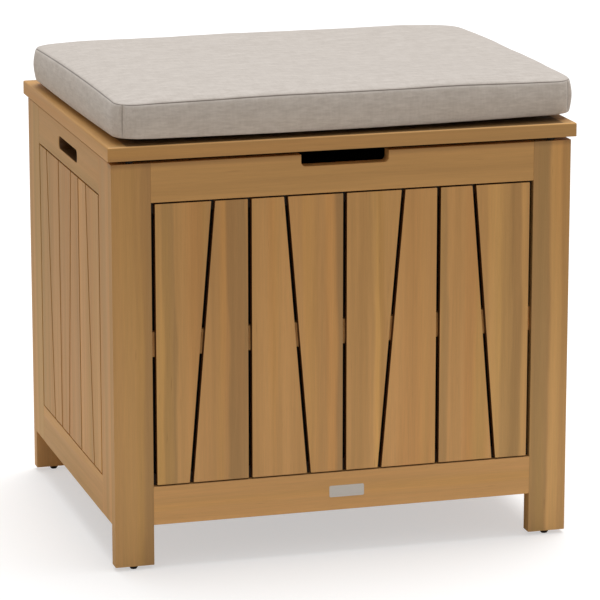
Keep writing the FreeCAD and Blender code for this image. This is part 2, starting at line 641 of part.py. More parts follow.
def build(doc):
    nodes = legs_and_rails(doc) + side_frames(doc) + slats(doc) + battens(doc) + floor_parts(doc)
    nodes += liner(doc) + [glides(doc), label_plate(doc), bumpers(doc)]
    nodes += lid_frame(doc) + lid_infill(doc) + [cushion_pads(doc), cushion(doc)]
    low_leaves, top_leaves, low_screws, top_screws, low_feet, top_feet = [], [], [], [], [], []
    for side, sign in (("left", -1), ("right", 1)):
        low_leaves.append(hinge_leaf(doc, side + "_low", sign, False))
        top_leaves.append(hinge_leaf(doc, side + "_top", sign, True))
        low_screws += hinge_screws(doc, side + "_low", sign, False)
        top_screws += hinge_screws(doc, side + "_top", sign, True)
        nodes.append(strut_tube(doc, side + "_strut_tube", sign))
        nodes.append(strut_rod(doc, side + "_strut_rod", sign))
        low_feet.append(lower_bracket(doc, side + "_low_bracket", sign))
        top_feet.append(upper_bracket(doc, side + "_top_bracket", sign))
        low, top = bracket_screws(doc, sign)
        low_screws += low
        top_screws += top
    for label, members in (("hinge_lower_leaves", low_leaves), ("hinge_upper_leaves", top_leaves),
                           ("strut_lower_brackets", low_feet), ("strut_upper_brackets", top_feet),
                           ("box_screws", low_screws), ("lid_screws", top_screws)):
        nodes.append(group(doc, label, members))
    return nodes


def check(doc, nodes):
    for obj in doc.Objects:
        if "Invalid" in obj.State or "Error" in obj.State:
            raise RuntimeError("%s is in state %s" % (obj.Label, obj.State))
    for node in nodes:
        shape = node.Shape
        if shape.isNull() or not shape.isValid() or not shape.Solids or shape.Volume < 1:
            raise RuntimeError("bad shape: " + node.Label)


def main():
    doc = FreeCAD.newDocument("storage_box")
    make_sheet(doc)
    nodes = build(doc)
    doc.recompute()
    check(doc, nodes)
    os.makedirs("parts", exist_ok=True)
    for node in nodes:
        node.Shape.exportStep(os.path.join("parts", node.Label + ".step"))
    print("wrote %d parts" % len(nodes))


main()
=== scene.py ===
# %% [markdown]
# # A slatted garden box with a seat cushion
# The wooden carcass, lid, hinges and gas struts come from the CAD frame and keep their shapes.
# Blender adds what CAD can't show well: oiled wood with grain, a stuffed linen cushion with
# seams, and the black cloth bag that lines the box.

# %% Load the frame
import math
import random

import bmesh
import bpy
from mathutils import Euler, Matrix, Vector, noise


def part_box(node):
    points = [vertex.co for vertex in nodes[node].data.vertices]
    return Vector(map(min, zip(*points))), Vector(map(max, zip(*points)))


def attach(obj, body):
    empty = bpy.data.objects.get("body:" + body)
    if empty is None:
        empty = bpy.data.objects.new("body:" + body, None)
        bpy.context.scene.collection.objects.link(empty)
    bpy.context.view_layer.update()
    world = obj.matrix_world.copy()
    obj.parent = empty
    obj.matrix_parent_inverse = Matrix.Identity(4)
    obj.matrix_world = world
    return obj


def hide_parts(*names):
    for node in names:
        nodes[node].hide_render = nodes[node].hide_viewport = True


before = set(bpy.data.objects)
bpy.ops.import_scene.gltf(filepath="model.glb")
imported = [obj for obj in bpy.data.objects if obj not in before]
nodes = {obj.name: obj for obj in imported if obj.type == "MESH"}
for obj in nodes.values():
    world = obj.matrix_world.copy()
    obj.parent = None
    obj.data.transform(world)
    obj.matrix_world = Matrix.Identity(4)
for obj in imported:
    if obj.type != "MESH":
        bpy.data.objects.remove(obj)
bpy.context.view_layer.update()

scene = bpy.context.scene

# %% [markdown]
# ## Camera
# A camera close by would make the box's upright edges lean together. A long lens from well back
# keeps them nearly parallel. The camera stands to the left of the front and looks a little
# down. Its place was worked out from the box's own edges.

# %% Camera
LENS = 211.4
YAW, PITCH = math.radians(16.19), math.radians(13.47)
STAND = (-1.2573, -4.3728, 1.3652)
camera_data = bpy.data.cameras.new("camera")
camera_data.lens = LENS
camera_data.sensor_width = 36
camera_data.clip_end = 30
camera = bpy.data.objects.new("camera", camera_data)
camera.location = STAND
camera.rotation_euler = Euler((math.pi / 2 - PITCH, 0, -YAW))
scene.collection.objects.link(camera)
scene.camera = camera
print("camera is", round(Vector(STAND).length, 2), "m from the middle of the floor")

# %% [markdown]
# ## Small helpers for node trees
# A material could be drawn by hand in the node editor. Here it is built by code, so that sixty
# boards and fittings can share a few recipes. These helpers keep the recipes short: one adds a
# node, one links a socket or sets it, and two add a step of arithmetic.

# %% Helpers: nodes and arithmetic
def add(tree, kind, **settings):
    made = tree.nodes.new(kind)
    for key, value in settings.items():
        setattr(made, key, value)
    return made

def plug(tree, source, socket):
    """Link a socket, or set a plain value."""
    if isinstance(source, bpy.types.NodeSocket):
        tree.links.new(source, socket)
    else:
        socket.default_value = source

def maths(tree, operation, a, b=0.0, c=0.0, clamp=False):
    made = add(tree, "ShaderNodeMath", operation=operation, use_clamp=clamp)
    for source, socket in zip((a, b, c), made.inputs):
        plug(tree, source, socket)
    return made.outputs[0]

def vector_maths(tree, operation, a, b):
    made = add(tree, "ShaderNodeVectorMath", operation=operation)
    plug(tree, a, made.inputs[0])
    plug(tree, b, made.inputs[1])
    return made.outputs[0]

print("helpers:", add.__name__, plug.__name__, maths.__name__, vector_maths.__name__)

# %% [markdown]
# Colours are blended by a mask, a ramp turns a slow change into a soft step, and noise gives
# every kind of unevenness. Object coordinates give each point's place in metres.

# %% Helpers: colour, ramp, noise and place
def blend_colour(tree, factor, a, b, mode="MIX"):
    made = add(tree, "ShaderNodeMix", data_type="RGBA", blend_type=mode)
    plug(tree, factor, made.inputs["Factor"])
    plug(tree, a, made.inputs[6])
    plug(tree, b, made.inputs[7])
    return made.outputs[2]

def ramp(tree, source, low, high, out_low=0.0, out_high=1.0):
    made = add(tree, "ShaderNodeMapRange", interpolation_type="SMOOTHSTEP")
    plug(tree, source, made.inputs["Value"])
    made.inputs["From Min"].default_value = low
    made.inputs["From Max"].default_value = high
    made.inputs["To Min"].default_value = out_low
    made.inputs["To Max"].default_value = out_high
    return made.outputs[0]

def noise_value(tree, vector, scale, detail=2.0, rough=0.5, distort=0.0):
    made = add(tree, "ShaderNodeTexNoise")
    plug(tree, vector, made.inputs["Vector"])
    made.inputs["Scale"].default_value = scale
    made.inputs["Detail"].default_value = detail
    made.inputs["Roughness"].default_value = rough
    made.inputs["Distortion"].default_value = distort
    return made.outputs[0]

def grey_of(tree, value):
    made = add(tree, "ShaderNodeCombineColor")
    for socket in made.inputs:
        tree.links.new(value, socket)
    return made.outputs[0]

def object_place(tree):
    return add(tree, "ShaderNodeTexCoord").outputs["Object"]

def parts_of(tree, vector):
    """The X, Y and Z outputs of a vector."""
    made = add(tree, "ShaderNodeSeparateXYZ")
    tree.links.new(vector, made.inputs[0])
    return made.outputs

def facing_of(tree):
    """X, Y and Z of the way the surface faces."""
    return parts_of(tree, add(tree, "ShaderNodeNewGeometry").outputs["Normal"])

print("helpers:", blend_colour.__name__, ramp.__name__, noise_value.__name__)

# %% [markdown]
# Every finish starts with the same three steps: a new material, its Principled shader and, at
# the end, a bump. A node group holds an effect that several materials use.

# %% Helpers: material, bump and group
def new_finish(name):
    paint = bpy.data.materials.new(name)
    paint.use_nodes = True
    return paint, paint.node_tree, paint.node_tree.nodes["Principled BSDF"]

def add_bump(tree, shader, height, strength, distance):
    bump = add(tree, "ShaderNodeBump")
    bump.inputs["Strength"].default_value = strength
    bump.inputs["Distance"].default_value = distance
    tree.links.new(height, bump.inputs["Height"])
    tree.links.new(bump.outputs["Normal"], shader.inputs["Normal"])

def new_group(name, inputs, outputs):
    """Empty shader node group; inputs and outputs are (name, socket type, default) rows."""
    group = bpy.data.node_groups.new(name, "ShaderNodeTree")
    for label, kind, start in inputs:
        socket = group.interface.new_socket(label, in_out="INPUT", socket_type=kind)
        if start is not None:
            socket.default_value = start
    for label, kind in outputs:
        group.interface.new_socket(label, in_out="OUTPUT", socket_type=kind)
    return group, group.nodes.new("NodeGroupInput"), group.nodes.new("NodeGroupOutput")

print("helpers:", new_finish.__name__, add_bump.__name__, new_group.__name__)

# %% [markdown]
# ## Floor
# The studio has a plain pale floor. A truly white floor would throw so much light back up that
# the shading of the box went flat. Light Path tells apart the rays that the camera sees, which
# find the floor bright, from the rays that carry light, which find a duller, warmer one.

# %% Floor
FLOOR_SEEN, FLOOR_BOUNCE = (0.62, 0.62, 0.62, 1), (0.64, 0.575, 0.50, 1)
FLOOR_GLOW = 0.50
FLOOR_REACH = 20
BLACK, WHITE = (0, 0, 0, 1), (1, 1, 1, 1)

def new_object(name, bm, paint):
    mesh = bpy.data.meshes.new(name)
    bm.to_mesh(mesh)
    bm.free()
    mesh.materials.append(paint)
    obj = bpy.data.objects.new(name, mesh)
    scene.collection.objects.link(obj)
    return obj

floor_paint, tree, shader = new_finish("pale_floor")
seen = add(tree, "ShaderNodeLightPath").outputs["Is Camera Ray"]
tree.links.new(blend_colour(tree, seen, FLOOR_BOUNCE, FLOOR_SEEN), shader.inputs["Base Color"])
tree.links.new(blend_colour(tree, seen, BLACK, WHITE), shader.inputs["Emission Color"])
shader.inputs["Emission Strength"].default_value = FLOOR_GLOW
shader.inputs["Roughness"].default_value = 0.7
shader.inputs["Specular IOR Level"].default_value = 0.1
floor_mesh = bmesh.new()
bmesh.ops.create_grid(floor_mesh, x_segments=1, y_segments=1, size=FLOOR_REACH)
floor = new_object("floor", floor_mesh, floor_paint)
print("floor:", [round(side) for side in floor.dimensions[:2]], "m")

# %% [markdown]
# ## Light
# Soft light could come from big area lamps. One sun with a very wide disc does the same and is
# equally strong everywhere. It stands nearly overhead and leans a little to the back and the
# right, so the top is brightest and the front is in soft shade. The sky is even, and looks
# brighter to the camera than the light it gives, as the floor does. The Standard view keeps the
# honey colour of the wood, which a filmic view would grey.

# %% Sun and sky
SKY_LIGHT, SUN_LIGHT = 0.42, 2.30
SUN_DISC = math.radians(50)
LEAN_BACK, LEAN_RIGHT = math.radians(14), math.radians(10)
sun_data = bpy.data.lights.new("broad_sun", "SUN")
sun_data.energy = SUN_LIGHT
sun_data.angle = SUN_DISC
sun = bpy.data.objects.new("broad_sun", sun_data)
sun.rotation_euler = (-LEAN_BACK, LEAN_RIGHT, 0)
scene.collection.objects.link(sun)

world = bpy.data.worlds.new("studio")
world.use_nodes = True
sky = world.node_tree.nodes["Background"]
seen = add(world.node_tree, "ShaderNodeLightPath").outputs["Is Camera Ray"]
level = ramp(world.node_tree, seen, 0.0, 1.0, SKY_LIGHT, 1.0)
world.node_tree.links.new(level, sky.inputs["Strength"])
sky.inputs["Color"].default_value = WHITE
scene.world = world
scene.view_settings.view_transform = "Standard"
print("sun", SUN_LIGHT, "sky", SKY_LIGHT)

# %% [markdown]
# ## Oiled hardwood: the grain
# The boards are light, oiled hardwood: honey brown, with straight grain, pale and olive streaks
# and a few dark flecks. A picture of wood would tile and blur, so the grain is made of noise
# stretched along the board. Broad bands, narrower bands, streaks and fibres are the same noise
# at four sizes.

# %% Sizes of the grain
# scale, stretch along the board, detail, roughness, distortion
GRAIN = {"broad": (24, 0.035, 1, 0.4, 0.5), "band": (68, 0.030, 2, 0.45, 0.3),
         "streak": (240, 0.022, 2, 0.5, 0.0), "fibre": (900, 0.030, 3, 0.6, 0.0)}
TONE_SHARE = {"broad": 0.45, "band": 0.33, "streak": 0.22}
# scale, offset, mask from, mask to, share, colour
STREAK_STAINS = (
    (19, 7.3, 0.54, 0.70, 0.60, (0.84, 0.90, 0.88, 1)),
    (36, 2.9, 0.57, 0.72, 0.55, (1.10, 1.10, 0.92, 1)),
    (28, 5.7, 0.56, 0.72, 0.55, (1.00, 0.90, 0.80, 1)))
FLECK_STAIN, FLECK_SHARE = (0.55, 0.45, 0.36, 1), 0.4

def grain(group, place, scale, stretch, detail, rough, distort=0.0, offset=0.0):
    """Noise drawn out along Z; an offset takes it from another part of the pattern."""
    if offset:
        place = vector_maths(group, "ADD", place, (offset, offset, offset))
    drawn_out = vector_maths(group, "MULTIPLY", place, (1, 1, stretch))
    return noise_value(group, drawn_out, scale, detail, rough, distort)

print("widest band about", round(1000 / GRAIN["broad"][0]), "mm, finest fibre about",
      round(1000 / GRAIN["fibre"][0], 1), "mm")

# %% [markdown]
# The group mixes a light and a dark wood colour by those bands, washes three kinds of streak
# over them and adds flecks. It gives out a colour, a roughness and a height, and each board's
# material puts those into its own shader.

# %% Grain group
def stain_streaks(group, place, colour):
    for scale, offset, low, high, share, colour_factor in STREAK_STAINS:
        mask = ramp(group, grain(group, place, scale, 0.03, 1, 0.4, 0.3, offset), low, high)
        mask = maths(group, "MULTIPLY", mask, share)
        colour = blend_colour(group, mask, colour, colour_factor, "MULTIPLY")
    return colour

def make_grain_group():
    group, source, sink = new_group(
        "board_grain",
        [("Vector", "NodeSocketVector", None), ("Light", "NodeSocketColor", (0.5, 0.3, 0.15, 1)),
         ("Dark", "NodeSocketColor", (0.3, 0.16, 0.07, 1)), ("Streaks", "NodeSocketFloat", 0.5)],
        [("Color", "NodeSocketColor"), ("Roughness", "NodeSocketFloat"),
         ("Height", "NodeSocketFloat")])
    place = source.outputs["Vector"]
    layers = {name: grain(group, place, *sizes) for name, sizes in GRAIN.items()}
    tone = 0.0
    for name, share in TONE_SHARE.items():
        tone = maths(group, "MULTIPLY_ADD", ramp(group, layers[name], 0.3, 0.7), share, tone)
    tone = maths(group, "MULTIPLY", tone, source.outputs["Streaks"], clamp=True)
    colour = blend_colour(group, tone, source.outputs["Light"], source.outputs["Dark"])
    colour = stain_streaks(group, place, colour)
    fleck = ramp(group, grain(group, place, 330, 0.055, 2, 0.5, 0.0, 4.1), 0.70, 0.80)
    colour = blend_colour(group, maths(group, "MULTIPLY", fleck, FLECK_SHARE), colour,
                          FLECK_STAIN, "MULTIPLY")
    fine = grey_of(group, ramp(group, layers["fibre"], 0.3, 0.7, 0.965, 1.03))
    colour = blend_colour(group, 1.0, colour, fine, "MULTIPLY")
    group.links.new(colour, sink.inputs["Color"])
    rough = maths(group, "MULTIPLY_ADD", layers["band"], 0.18, 0.40)
    group.links.new(rough, sink.inputs["Roughness"])
    height = maths(group, "MULTIPLY_ADD", layers["fibre"], 0.6,
                   maths(group, "MULTIPLY", layers["streak"], 0.4))
    height = maths(group, "SUBTRACT", height, maths(group, "MULTIPLY", fleck, 0.5))
    group.links.new(height, sink.inputs["Height"])
    return group

grain_group = make_grain_group()
print("group:", grain_group.name, "with", len(grain_group.nodes), "nodes")

# %% [markdown]
# ## Oiled hardwood: colours and stains
# Boards of one box are sorted to match but never alike. A gain makes one brighter and a warmth
# makes it redder. A stripe is a band of heartwood or sapwood across one board. A stripe's mask
# is two soft steps, one up and one down.

# %% Wood colours and stripes
LIGHT_WOOD, DARK_WOOD = (0.665, 0.360, 0.118), (0.508, 0.273, 0.087)
STRIPE_SOFTNESS = 0.0022
chance = random.Random(41)

def tint(colour, gain, warm):
    """Brighten by gain; warm above zero turns the board redder, below zero more olive."""
    r, g, b = colour
    return (r * gain * (1 + 0.4 * warm), g * gain * (1 - 0.25 * warm),
            b * gain * (1 - 0.1 * warm), 1)

def stripe_mask(tree, position, start, end, soft=STRIPE_SOFTNESS):
    """One inside the stripe from start to end, zero outside, with soft edges."""
    return maths(tree, "MULTIPLY", ramp(tree, position, start - soft, start + soft),
                 ramp(tree, position, end - soft, end + soft, 1.0, 0.0))

def paint_stripes(tree, where, colour, stripes):
    """Stripes are (from, to, colour) across X; slow noise lets their edges wander."""
    slow = vector_maths(tree, "MULTIPLY", where, (0.2, 0.2, 1))
    wander = maths(tree, "MULTIPLY_ADD", noise_value(tree, slow, 5, 2, 0.5), 0.016, -0.008)
    position = maths(tree, "ADD", parts_of(tree, where)["X"], wander)
    for start, end, colour_factor in stripes:
        mask = stripe_mask(tree, position, start, end)
        colour = blend_colour(tree, mask, colour, colour_factor + (1,), "MULTIPLY")
    return colour

print("light wood on a brighter board:", [round(c, 3) for c in tint(LIGHT_WOOD, 1.05, 0)[:3]])

# %% [markdown]
# Two masks paint light and shade by place. Painted light brightens the foot of the box, which is
# lit more strongly near the floor, and painted shade turns the sawn edges and ends nearly black,
# as they lie in the shaded gaps between boards. Both are masks: one reads the height, the other
# the way the surface faces.

# %% Painted light at the foot and painted shade on the edges
LOW_PAINTED_LIGHT, PAINTED_LIGHT_TOP = (1.29, 1.36, 1.58, 1), 0.48
EDGE_PAINTED_SHADE = (0.24, 0.16, 0.10, 1)

# Painted light: the colour is brightened towards the foot of the box.
def paint_low_light(tree, where, colour):
    low = ramp(tree, parts_of(tree, where)["Z"], 0.0, PAINTED_LIGHT_TOP, 1.0, 0.0)
    return blend_colour(tree, low, colour, LOW_PAINTED_LIGHT, "MULTIPLY")

def paint_edge_shade(tree, colour, axis):
    """Painted shade: darken the faces that look along the named axis, and the ends, which look
    along Z.
    """
    facing = facing_of(tree)
    side = maths(tree, "MAXIMUM", maths(tree, "ABSOLUTE", facing[axis]),
                 maths(tree, "ABSOLUTE", facing["Z"]))
    return blend_colour(tree, ramp(tree, side, 0.75, 0.97), colour, EDGE_PAINTED_SHADE, "MULTIPLY")

print("painted_light up to", PAINTED_LIGHT_TOP, "m")

# %% [markdown]
# Some nodes hold a whole row of boards. SNAP rounds a place down to its board, and white noise
# on the rounded place throws one dice per board. The dice shift the grain and the tone, so each
# board of the row looks cut from another plank.

# %% Dice for a row of boards
ROW_SHADES = (0.88, 1.08)

def board_dice(tree, where, pitch, axis):
    """A random value and colour that stay the same over one board of a row."""
    everywhere = 1000.0
    grid = [everywhere] * 3
    grid["xyz".index(axis)] = pitch
    moved = vector_maths(tree, "ADD", where, (5 * pitch + 0.0001,) * 3)
    dice = add(tree, "ShaderNodeTexWhiteNoise", noise_dimensions="3D")
    plug(tree, vector_maths(tree, "SNAP", moved, tuple(grid)), dice.inputs["Vector"])
    return dice

def shade_rows(tree, dice, colour):
    shade = grey_of(tree, ramp(tree, dice.outputs["Value"], 0.0, 1.0, *ROW_SHADES))
    return blend_colour(tree, 1.0, colour, shade, "MULTIPLY")

print("shades in a row from", ROW_SHADES[0], "to", ROW_SHADES[1])

# %% [markdown]
# One function makes the finish of one board. A Mapping node turns the grain along the board and
# moves it by a random amount, so no two boards are cut from the same spot.

# %% Wood finish
GRAIN_TURN = {"z": (0, 0, 0), "x": (0, math.pi / 2, 0), "y": (math.pi / 2, 0, 0)}

def wood(name, along, gain=1.0, warm=0.0, streaks=0.9, boards=None, stripes=(), edges=None):
    """Finish for one board, or for a row of boards if boards gives their (pitch, axis)."""
    paint, tree, shader = new_finish("oiled_wood_" + name)
    where = object_place(tree)
    turn = add(tree, "ShaderNodeMapping")
    plug(tree, where, turn.inputs["Vector"])
    turn.inputs["Rotation"].default_value = GRAIN_TURN[along]
    turn.inputs["Location"].default_value = tuple(chance.uniform(-3, 3) for _ in range(3))
    vector = turn.outputs["Vector"]
    if boards:
        dice = board_dice(tree, where, *boards)
        vector = vector_maths(tree, "ADD", vector, dice.outputs["Color"])
    board = add(tree, "ShaderNodeGroup", node_tree=grain_group)
    plug(tree, vector, board.inputs["Vector"])
    board.inputs["Light"].default_value = tint(LIGHT_WOOD, gain, warm)
    board.inputs["Dark"].default_value = tint(DARK_WOOD, gain, warm)
    board.inputs["Streaks"].default_value = streaks
    colour = board.outputs["Color"]
    if boards:
        colour = shade_rows(tree, dice, colour)
    # Painted light: brighter towards the foot of the box.
    colour = paint_low_light(tree, where, colour)
    # Painted shade on the faces that look along the axis named by edges, and on the ends.
    if edges:
        colour = paint_edge_shade(tree, colour, edges)
    if stripes:
        colour = paint_stripes(tree, where, colour, stripes)
    tree.links.new(colour, shader.inputs["Base Color"])
    tree.links.new(board.outputs["Roughness"], shader.inputs["Roughness"])
    shader.inputs["Specular IOR Level"].default_value = 0.5
    add_bump(tree, shader, board.outputs["Height"], 0.15, 0.0005)
    return paint

print("grain can run along", ", ".join(GRAIN_TURN))

# %% [markdown]
# ## Dressing a CAD board
# A CAD node keeps its mesh and only changes its material slots. Its corners are razor sharp,
# which no board is, so a live Bevel takes off less than a millimetre. The CAD mesh is loose
# triangles, and a Weld joins them first, or Bevel would find no edges.

# %% Put a finish on a node
ARRIS = 0.0008
WELD_GAP = 0.00001

def finish_node(name, paint):
    """Give a CAD node its finish in every material slot."""
    obj = nodes[name]
    for slot in obj.material_slots:
        slot.material = paint
    if not obj.material_slots:
        obj.data.materials.append(paint)

def soften_edges(name, width):
    nodes[name].modifiers.new("weld", "WELD").merge_threshold = WELD_GAP
    bevel = nodes[name].modifiers.new("arris", "BEVEL")
    bevel.width = width
    bevel.segments = 2
    bevel.limit_method = "ANGLE"
    bevel.angle_limit = math.radians(40)

print("arris:", ARRIS * 1000, "mm")

# %% [markdown]
# A board gets one finish all over. Painted light and shade sit in one place only, such as the
# painted shade inside a routed slot, so a second helper multiplies the colour inside a box given
# in metres.

# %% Boards, and painted light and shade by place
def paint_board(name, along, gain=None, warm=None, arris=ARRIS, stripes=(), **more):
    """Where no gain or warmth is given, chance picks one."""
    gain = chance.uniform(0.95, 1.04) if gain is None else gain
    warm = chance.uniform(-0.05, 0.05) if warm is None else warm
    finish_node(name, wood(name, along, gain, warm, stripes=stripes, **more))
    soften_edges(name, arris)

def paint_light_where(name, ranges, colour_factor, soft=0.0005):
    """Paint light and shade: multiply a node's colour by colour_factor where every (axis, from,
    to) range holds.
    """
    tree = nodes[name].material_slots[0].material.node_tree
    socket = tree.nodes["Principled BSDF"].inputs["Base Color"]
    before = socket.links[0].from_socket
    place = parts_of(tree, object_place(tree))
    mask = 1.0
    for axis, start, end in ranges:
        mask = maths(tree, "MULTIPLY", mask, stripe_mask(tree, place[axis], start, end, soft))
    tree.links.new(blend_colour(tree, mask, before, colour_factor + (1,), "MULTIPLY"), socket)

print("helpers:", paint_board.__name__, paint_light_where.__name__)

# %% [markdown]
# ## Legs and stiles
# Upright boards have upright grain. The two front legs show clear bands of colour, so they have
# stripes. Stripes are given in metres across the box, from the middle.

# %% Legs and stiles
OLIVE, PALE, HEART = (0.80, 0.83, 0.86), (1.12, 1.13, 1.10), (0.84, 0.84, 0.84)
LEG_GAIN = {"left": 0.93, "right": 1.0}
LEG_STRIPES = {
    "leg_front_left": [(-0.288, -0.270, (1.06, 1.07, 1.05)), (-0.262, -0.240, (0.88, 0.87, 0.90))],
    "leg_front_right": [(0.240, 0.2735, (0.80, 0.83, 0.88)), (0.2755, 0.2895, (1.16, 1.20, 1.18)),
                        (0.2915, 0.310, (0.99, 1.01, 1.02))]}

def nodes_named(prefixes):
    return sorted(n for n in nodes if n.startswith(prefixes))

for name in nodes_named("leg_"):
    paint_board(name, "z", LEG_GAIN[name.split("_")[-1]], stripes=LEG_STRIPES.get(name, ()))
for name in ("left_front_stile", "left_rear_stile", "right_front_stile", "right_rear_stile"):
    paint_board(name, "z", 1.04)
print("legs:", nodes_named("leg_"))

# %% [markdown]
# ## Wall slats
# The front slats are what one sees first. Each has its own gain and warmth, and most have a streak
# or two. Their edges get painted shade, so the gaps between them read as black lines.

# %% Front and left slats
SLAT_TONES = {
    "front_slat_1": (0.98, 0.0), "front_slat_2": (0.97, 0.03), "front_slat_3": (1.04, 0.02),
    "front_slat_4": (1.03, 0.03), "front_slat_5": (1.04, 0.0), "front_slat_6": (1.10, 0.03),
    "front_slat_7": (1.04, 0.02), "front_slat_8": (1.05, 0.0)}
SLAT_STRIPES = {
    "front_slat_1": [(-0.250, -0.2375, (1.01, 1.04, 1.00)), (-0.236, -0.220, OLIVE)],
    "front_slat_2": [(-0.153, -0.128, OLIVE)],
    "front_slat_4": [(-0.024, -0.014, PALE), (-0.011, 0.001, (0.80, 0.84, 0.94))],
    "front_slat_5": [(0.037, 0.044, PALE), (0.045, 0.052, (0.90, 0.88, 0.86))],
    "front_slat_7": [(0.125, 0.136, OLIVE)],
    "front_slat_8": [(0.190, 0.207, PALE), (0.222, 0.235, HEART), (0.236, 0.242, PALE)]}

for name in nodes_named(("front_slat_", "left_slat_")):
    gain, warm = SLAT_TONES.get(name, (None, None))
    # The front slats get painted shade on their edges.
    paint_board(name, "z", gain, warm, stripes=SLAT_STRIPES.get(name, ()), streaks=1.0,
                edges="X" if name.startswith("front") else None)
print("slats:", len(nodes_named(("front_slat_", "left_slat_"))))

# %% [markdown]
# ## Rails, rear and right walls
# Rails lie across, so their grain runs along X or Y. The rear and right walls are one node each,
# and the dice tell their boards apart.

# %% Rails, rear and right walls
REAR_PITCH, RIGHT_PITCH = 0.12375, 0.11633

# The bottom rails get a higher gain: painted light, as at the foot of the box.
for name in ("front_top_rail", "front_bottom_rail", "rear_top_rail", "rear_bottom_rail"):
    paint_board(name, "x", 1.10 if "bottom" in name else 1.0, streaks=0.8)
for name in ("left_top_rail", "left_bottom_rail", "right_top_rail", "right_bottom_rail"):
    paint_board(name, "y", 1.03, streaks=0.8)
# The rear slats get painted shade on their edges too.
paint_board("rear_slats", "z", 1.0, 0.0, boards=(REAR_PITCH, "x"), edges="X")
paint_board("right_slats", "z", 1.0, 0.0, boards=(RIGHT_PITCH, "y"))
print("rails:", len([n for n in nodes if n.endswith("_rail")]))

# %% [markdown]
# ## Battens, hand slots and floor
# Battens hold the slats from behind. The middle one is bare wood and shows in the gaps; its high
# gain is painted light that keeps it bright in the shaded gap. The end ones get painted shade,
# nearly black, so that a gap looks open from top to bottom. The routed hand slots get painted
# shade inside too.

# %% Battens, hand slots and floor
END_BATTENS, BATTEN_PAINTED_SHADE = ((0.100, 0.125), (0.450, 0.475)), (0.02, 0.016, 0.012)
SLOT_HEIGHT, SLOT_PAINTED_SHADE = (0.4855, 0.5055), (0.20, 0.15, 0.11)
RAIL_INSIDE = {"left_top_rail": (-0.2990, -0.2830), "right_top_rail": (0.2830, 0.2990)}
FLOOR_BOARD_PITCH = 0.0705

# The front battens' gain of 1.40 is painted light for the shaded gaps.
for name, along, gain in (("front_battens", "x", 1.40), ("rear_battens", "x", 0.55),
                          ("side_battens", "y", 0.55)):
    paint_board(name, along, gain)
    # Painted shade: the end battens are made nearly black.
    for low, high in END_BATTENS:
        paint_light_where(name, [("Z", low, high)], BATTEN_PAINTED_SHADE)
# Painted shade inside the routed hand slots.
for name, (inner, outer) in RAIL_INSIDE.items():
    paint_light_where(name, [("X", inner, outer), ("Z",) + SLOT_HEIGHT], SLOT_PAINTED_SHADE)
paint_board("floor_boards", "y", 0.9, 0.0, boards=(FLOOR_BOARD_PITCH, "x"))
paint_board("floor_cleats", "x", 0.8)
print("hand slots from", SLOT_HEIGHT[0], "to", SLOT_HEIGHT[1], "m")

# %% [markdown]
# ## The lid
# The lid's frame has a rounder front edge than the carcass, because people sit on it. That edge
# gets a painted highlight, and the wood where the cushion lies gets painted shadow, darker than
# the rest.

# %% The lid
LID_ARRIS, LID_SLAT_PITCH = 0.0018, 0.09875
UNDER_CUSHION = [("X", -0.281, 0.288), ("Y", -0.2478, 0.222), ("Z", 0.5415, 0.560)]
CUSHION_PAINTED_SHADOW, EDGE_PAINTED_HIGHLIGHT = (0.40, 0.37, 0.35), (1.42, 1.45, 1.55)
HIGHLIGHT_STRIP = [("Y", -0.2520, -0.2484), ("Z", 0.5424, 0.5460)]

for name in ("lid_front_board", "lid_rear_board"):
    paint_board(name, "x", 0.88, arris=LID_ARRIS)
for name in ("lid_left_board", "lid_right_board"):
    paint_board(name, "y")
paint_board("lid_slats", "x", 0.98, 0.0, boards=(LID_SLAT_PITCH, "y"))
lid_top = nodes_named("lid_slats") + [n for n in nodes_named("lid_") if n.endswith("_board")]
# Painted shadow on the lid top where the cushion lies.
for name in lid_top:
    paint_light_where(name, UNDER_CUSHION, CUSHION_PAINTED_SHADOW, 0.0012)
# Painted highlight along the rounded front top edge of the lid.
paint_light_where("lid_front_board", HIGHLIGHT_STRIP, EDGE_PAINTED_HIGHLIGHT, 0.0003)
paint_board("lid_battens", "y", 0.9)
print("lid boards:", lid_top)

# %% [markdown]
# The lid overhangs the front by a few millimetres and casts a soft shadow on the boards just
# below. That shadow is painted as a darker soft band there.

# %% Painted shadow under the lid
UNDER_LID_BAND, LID_PAINTED_SHADOW = [("Z", 0.5165, 0.540)], (0.72, 0.70, 0.68)

# Painted shadow in a soft band below the lid's overhang.
for name in ("front_top_rail", "leg_front_left", "leg_front_right"):
    paint_light_where(name, UNDER_LID_BAND, LID_PAINTED_SHADOW, 0.0035)
print("wood finishes:",
      len([m for m in bpy.data.materials if m.name.startswith("oiled_wood")]))

# %% [markdown]
# ## Metal, plastic and rubber
# The small fittings are plated steel, black enamel and moulded plastic. A perfectly even
# surface looks like a toy, so fine noise in the colour and roughness wears them a little.

# %% Recipe for a fitting
def plain_finish(name, colour, metallic, rough, spread, scale, stretch=(1, 1, 1), height=0.05):
    paint, tree, shader = new_finish(name)
    drawn_out = vector_maths(tree, "MULTIPLY", object_place(tree), stretch)
    worn = noise_value(tree, drawn_out, scale, 3, 0.6)
    low = tuple(c * 0.86 for c in colour) + (1,)
    tree.links.new(blend_colour(tree, worn, low, tuple(colour) + (1,)),
                   shader.inputs["Base Color"])
    tree.links.new(maths(tree, "MULTIPLY_ADD", worn, spread, rough), shader.inputs["Roughness"])
    shader.inputs["Metallic"].default_value = metallic
    add_bump(tree, shader, worn, height, 0.0003)
    return paint

